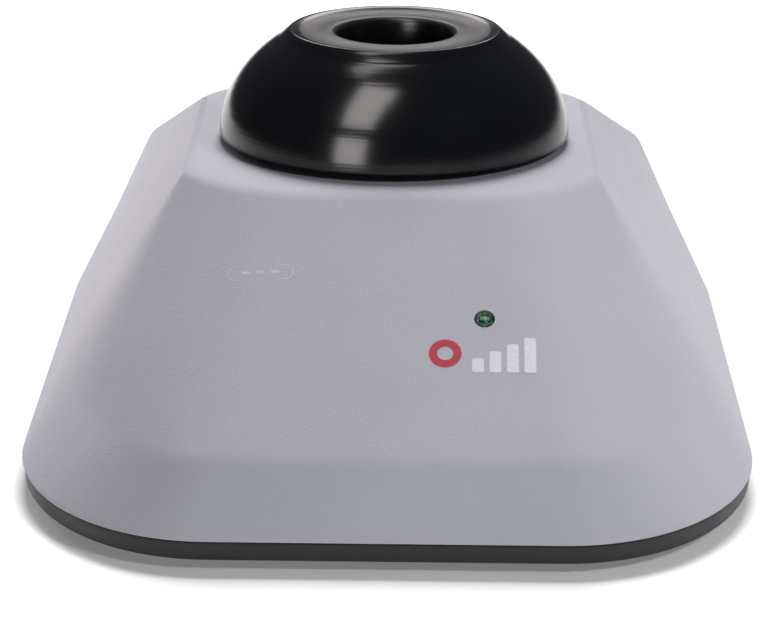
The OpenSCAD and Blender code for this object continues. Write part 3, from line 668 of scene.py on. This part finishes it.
def bend(points, steps):
    """Softens the middle corner of three profile points."""
    a, b, c = (Vector(p) for p in points)
    return [tuple(a * (1 - t) ** 2 + b * 2 * t * (1 - t) + c * t * t)
            for t in (i / steps for i in range(steps + 1))]


def make_cup():
    low, high = CUP_Z + 0.35, RING_Z - 1.5
    heights = [low + (high - low) * math.sin(math.pi / 2 * i / 28) for i in range(29)]
    outside = bend(((CUP_R - 0.35, CUP_Z), (CUP_R, CUP_Z), (CUP_R, CUP_Z + 0.35)), 4)
    outside += [(crown_r(z), z) for z in heights]
    outside += bend(((crown_r(high), high), (RING_R + 0.25, RING_Z - 0.25),
                     (RING_R - 0.3, RING_Z)), 8)
    outside += bend(((RING_R - 0.3, RING_Z), (RING_R - 1.1, RING_Z + 0.02),
                     (RING_R - 2.0, RING_Z - 0.32)), 6)
    dish = [(DISH_R - DISH_W * i / 8,
             RING_Z - 0.42 + 0.06 * i / 8 - 0.12 * math.sin(math.pi * i / 8)) for i in range(9)]
    mouth = bend(((WELL_R + 0.9, MOUTH_Z + 0.13), (WELL_R + 0.1, MOUTH_Z + 0.1),
                  (WELL_R - 0.05, MOUTH_Z - 0.9)), 6)
    well = [(WELL_R - 0.3, 57.0), (WELL_R - 0.9, 52.0)]
    well += bend(((WELL_R - 1.2, 50.0), (WELL_R - 1.6, WELL_FLOOR), (WELL_R - 3.6, WELL_FLOOR)), 6)
    well += [(WELL_R - 6.0, WELL_FLOOR), (0.0, WELL_FLOOR)]
    socket = [(0.0, SOCKET_TOP), (SOCKET_R, SOCKET_TOP), (SOCKET_R, CUP_Z)]
    section = socket + HOLLOW + outside + dish + mouth + well
    cleaned = []
    for point in section:
        if not cleaned or (Vector(point) - Vector(cleaned[-1])).length > 1e-4:
            cleaned.append(point)
    cup = lathe("cup", cleaned, CUP_AXIS, 160)
    return stand_for(cup, "rubber_cup", "head", "cup_rubber")


# ---- lamp and marks ----

def make_lamp():
    lens_r, flange_r, leg_r, dome_z = 1.35, 1.65, 0.25, -0.75
    profile = [(0.0, -8.0), (leg_r, -8.0), (leg_r, -5.2), (flange_r, -5.2), (flange_r, -4.3),
               (lens_r, -4.3), (lens_r, dome_z)]
    profile += [(lens_r * math.cos(a), dome_z + lens_r * 0.95 * math.sin(a))
                for a in (math.pi / 2 * i / 10 for i in range(1, 10))]
    profile.append((0.0, dome_z + lens_r * 0.95))
    lamp = lathe("lamp", profile, (0.0, 0.0), 48)
    turn = Matrix.Rotation(FACE_TILT, 4, "X")
    lamp.data.transform(Matrix.Translation(on_face(*LED_PLACE) * MM) @ turn)
    return stand_for(lamp, "status_led", "housing", "status_lamp")


def surface_tree(obj):
    bm = bmesh.new()
    bm.from_mesh(obj.data)
    tree = BVHTree.FromBMesh(bm)
    bm.free()
    return tree


def lay_on(tree, shapes, name, thickness=0.05, sink=0.15):
    """Flat shapes, each an outer and an inner ring of (x, up), laid on the front as thin solids."""
    bm = bmesh.new()
    ray_height = 6
    inward = (on_face(0, 0, -1) - on_face(0, 0)).normalized()
    for outer, inner in shapes:
        rows = []
        for ring in (outer, inner):
            top, low = [], []
            for x, up in ring:
                start = on_face(x, up, ray_height) * MM
                hit = tree.ray_cast(start, inward)[0]
                top.append(bm.verts.new(hit / MM - inward * thickness))
                low.append(bm.verts.new(hit / MM + inward * sink))
            rows.append((top, low))
        (outer_top, outer_low), (inner_top, inner_low) = rows
        count = len(outer)
        for i in range(count):
            k = (i + 1) % count
            bm.faces.new((outer_top[i], outer_top[k], inner_top[k], inner_top[i]))
            bm.faces.new((outer_low[k], outer_low[i], inner_low[i], inner_low[k]))
            bm.faces.new((outer_top[k], outer_top[i], outer_low[i], outer_low[k]))
            bm.faces.new((inner_top[i], inner_top[k], inner_low[k], inner_low[i]))
    return to_object(bm, name, 30)


def ring_shape(x, up, outer, inner, count=48):
    turn = 2 * math.pi / count

    def at(r):
        return [(x + r * math.cos(turn * i), up + r * math.sin(turn * i)) for i in range(count)]
    return at(outer), at(inner)


def bar_shape(x, up, width, height, round_r=0.35, inner_scale=0.02):
    """A rounded bar, as a ring round a tiny middle."""
    points = []
    for cx, cy, start in ((width - round_r, height - round_r, 0), (round_r, height - round_r, 90),
                          (round_r, round_r, 180), (width - round_r, round_r, 270)):
        for i in range(5):
            a = math.radians(start + 90 * i / 4)
            points.append((x + cx + round_r * math.cos(a), up + cy + round_r * math.sin(a)))
    mx, my = x + width / 2, up + height / 2
    middle = [(mx + (px - mx) * inner_scale, my + (py - my) * inner_scale) for px, py in points]
    return points, middle


def pill_ring(x, up, width, height, line):
    """A thin frame with round ends."""
    def at(half_h):
        half_w = (width - height) / 2
        points = []
        for side, start in ((1, -90), (-1, 90)):
            for i in range(13):
                a = math.radians(start + 180 * i / 12)
                points.append((x + side * half_w + half_h * math.cos(a), up + half_h * math.sin(a)))
        return points
    return at(height / 2), at(height / 2 - line)


def make_marks(tree):
    ring_width, mark_height = 4.7, 6.3
    ring = ring_shape(RING_X + ring_width / 2, MARK_UP + mark_height / 2, ring_width / 2,
                      ring_width / 4)
    red = lay_on(tree, [ring], "mark_red")
    stand_for(red, "emblem_red", "housing", "mark_dot")
    bar_step, bar_width, bar_low, bar_rise = 2.5, 1.7, 2.4, 1.2
    bars = [bar_shape(BARS_X + i * bar_step, MARK_UP, bar_width, bar_low + i * bar_rise)
            for i in range(4)]
    grey = lay_on(tree, bars, "mark_grey")
    stand_for(grey, "emblem_grey", "housing", "mark_bars")
    pill = [pill_ring(BADGE_X, BADGE_UP, 9.8, 2.7, 0.16)]
    dash_step, dash_width, dash_height = 2.2, 1.2, 0.5
    pill += [bar_shape(BADGE_X + i * dash_step - dash_width / 2, BADGE_UP - dash_height / 2,
                       dash_width, dash_height, 0.15) for i in (-1, 0, 1)]
    badge = lay_on(tree, pill, "badge", 0.04)
    stand_for(badge, "badge_plate", "housing", "badge_frame")


# ---- press springs ----

def coil_height(turn):
    """Height along a spring's wire: the first and last three quarter turns lie closed."""
    closed = min(turn, CLOSED_TURNS) + max(turn - CLOSED_TURNS - OPEN_TURNS, 0.0)
    opened = min(max(turn - CLOSED_TURNS, 0.0), OPEN_TURNS)
    return SPRING_LOW + SPRING_WIRE_R + CLOSED_PITCH * closed + OPEN_PITCH * opened


def make_springs():
    """Four coil springs that stand on the tray's posts."""
    steps, sides = 24, 10
    wire = [2 * math.pi * j / sides for j in range(sides)]
    springs = []
    for x, y in GUIDE_POSTS:
        rings = []
        for i in range(int((2 * CLOSED_TURNS + OPEN_TURNS) * steps) + 1):
            around = 2 * math.pi * i / steps
            out = Vector((math.cos(around), math.sin(around), 0.0))
            middle = Vector((x, y, coil_height(i / steps))) + out * SPRING_R
            rings.append([middle + (out * math.cos(a) + Vector((0, 0, math.sin(a)))) * SPRING_WIRE_R
                          for a in wire])
        bm = bmesh.new()
        skin_rings(bm, rings)
        springs.append(to_object(bm, "spring"))
    coils = join(springs)
    smooth(coils, 50)
    stand_for(coils, "press_springs", "housing", "press_coils")
    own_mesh(coils)


housing = make_housing()
make_tray()
cup = make_cup()
make_lamp()
make_springs()
make_marks(surface_tree(housing))

for node_name, node in frame["nodes"].items():
    if not node.hide_render:
        wear(node, SLOT_OF[node_name])


# ---- floor, light and camera ----

def make_floor():
    half = 3.0
    bm = bmesh.new()
    bm.faces.new([bm.verts.new((x, y, 0.0)) for x, y in
                  ((-half, -half), (half, -half), (half, half), (-half, half))])
    mesh = bpy.data.meshes.new("floor")
    bm.to_mesh(mesh)
    bm.free()
    floor = bpy.data.objects.new("floor", mesh)
    bpy.context.collection.objects.link(floor)
    m = Nodes("floor_white")
    m.set(Base_Color=m.blend(m.ramp(m.noise(3.0), 0.3, 0.7), (0.88, 0.88, 0.88), (0.9, 0.9, 0.9)),
          Roughness=0.7, Specular_IOR_Level=0.2,
          Emission_Color=(1.0, 1.0, 1.0, 1.0), Emission_Strength=0.16)
    floor.data.materials.append(m.material)


def softbox(name, place, target, width, height, watts, colour=(1.0, 1.0, 1.0)):
    """An area light that doesn't show as a reflection in glossy surfaces."""
    data = bpy.data.lights.new(name, "AREA")
    data.shape = "RECTANGLE"
    data.size, data.size_y = width, height
    data.energy = watts
    data.color = colour
    lamp = bpy.data.objects.new(name, data)
    lamp.location = place
    lamp.rotation_euler = (Vector(target) - Vector(place)).to_track_quat("-Z", "Y").to_euler()
    lamp.visible_glossy = False
    bpy.context.collection.objects.link(lamp)
    return lamp


def cup_panel(name, azimuth, elevation, width, height, watts, cup_only):
    """A panel that shows only on the cup, and only as a reflection."""
    a, e = math.radians(azimuth), math.radians(elevation)
    aim = Vector((0.0, 0.0, PANEL_AIM_Z))
    away = Vector((math.sin(a) * math.cos(e), -math.cos(a) * math.cos(e), math.sin(e)))
    place = aim + away * PANEL_DISTANCE
    panel = softbox(name, place, aim, width, height, watts, (1.0, 0.96, 0.93))
    panel.visible_glossy = True
    panel.visible_diffuse = False
    panel.light_linking.receiver_collection = cup_only


def make_lights(cup):
    middle = (0.0, 0.0, 0.03)
    softbox("top", (0.02, 0.48, 0.86), middle, 0.45, 0.45, 12.2, (1.0, 0.975, 0.985))
    softbox("left", (-0.50, 0.74, 0.30), middle, 0.4, 0.4, 3.2, (1.0, 0.97, 0.98))
    softbox("fill", (0.22, -0.82, 0.05), middle, 0.4, 0.08, 1.6, (0.94, 0.98, 1.0))
    key = softbox("key", (0.42, -0.42, 0.50), (0.042, -0.035, 0.03), 0.12, 0.12, 0.046,
                  (0.95, 0.98, 1.0))
    key.data.spread = math.radians(28)
    cup_only = bpy.data.collections.new("cup_only")
    cup_only.objects.link(cup)
    cup_panel("window_low", -28, 10, 0.27, 0.44, 3.4, cup_only)
    cup_panel("window_high", -28, 57, 0.27, 0.60, 4.6, cup_only)
    cup_panel("overhead", -150, 78, 0.34, 0.14, 0.8, cup_only)
    cup_panel("back", 180, 30, 0.36, 0.22, 1.1, cup_only)
    world = bpy.data.worlds.new("studio")
    world.use_nodes = True
    background = world.node_tree.nodes["Background"]
    background.inputs["Color"].default_value = (0.9, 0.92, 1.0, 1.0)
    background.inputs["Strength"].default_value = 0.06
    bpy.context.scene.world = world


def make_camera():
    data = bpy.data.cameras.new("camera")
    data.sensor_width = 36.0
    data.lens = CAMERA_LENS
    data.shift_y = 0.011
    data.clip_start = 0.01
    yaw, pitch, roll = (math.radians(a) for a in (CAMERA_YAW, CAMERA_PITCH, CAMERA_ROLL))
    ahead = Vector((math.sin(yaw) * math.cos(pitch), math.cos(yaw) * math.cos(pitch),
                    -math.sin(pitch)))
    level_right = Vector((math.cos(yaw), -math.sin(yaw), 0.0))
    level_up = level_right.cross(ahead)
    right = level_right * math.cos(roll) + level_up * math.sin(roll)
    up = level_up * math.cos(roll) - level_right * math.sin(roll)
    turn = Matrix((right, up, -ahead)).transposed().to_4x4()
    camera = bpy.data.objects.new("camera", data)
    bpy.context.collection.objects.link(camera)
    camera.matrix_world = Matrix.Translation(Vector(CAMERA_PLACE) * MM) @ turn
    bpy.context.scene.camera = camera


make_floor()
make_lights(cup)
make_camera()
bpy.context.scene.view_settings.view_transform = "Standard"
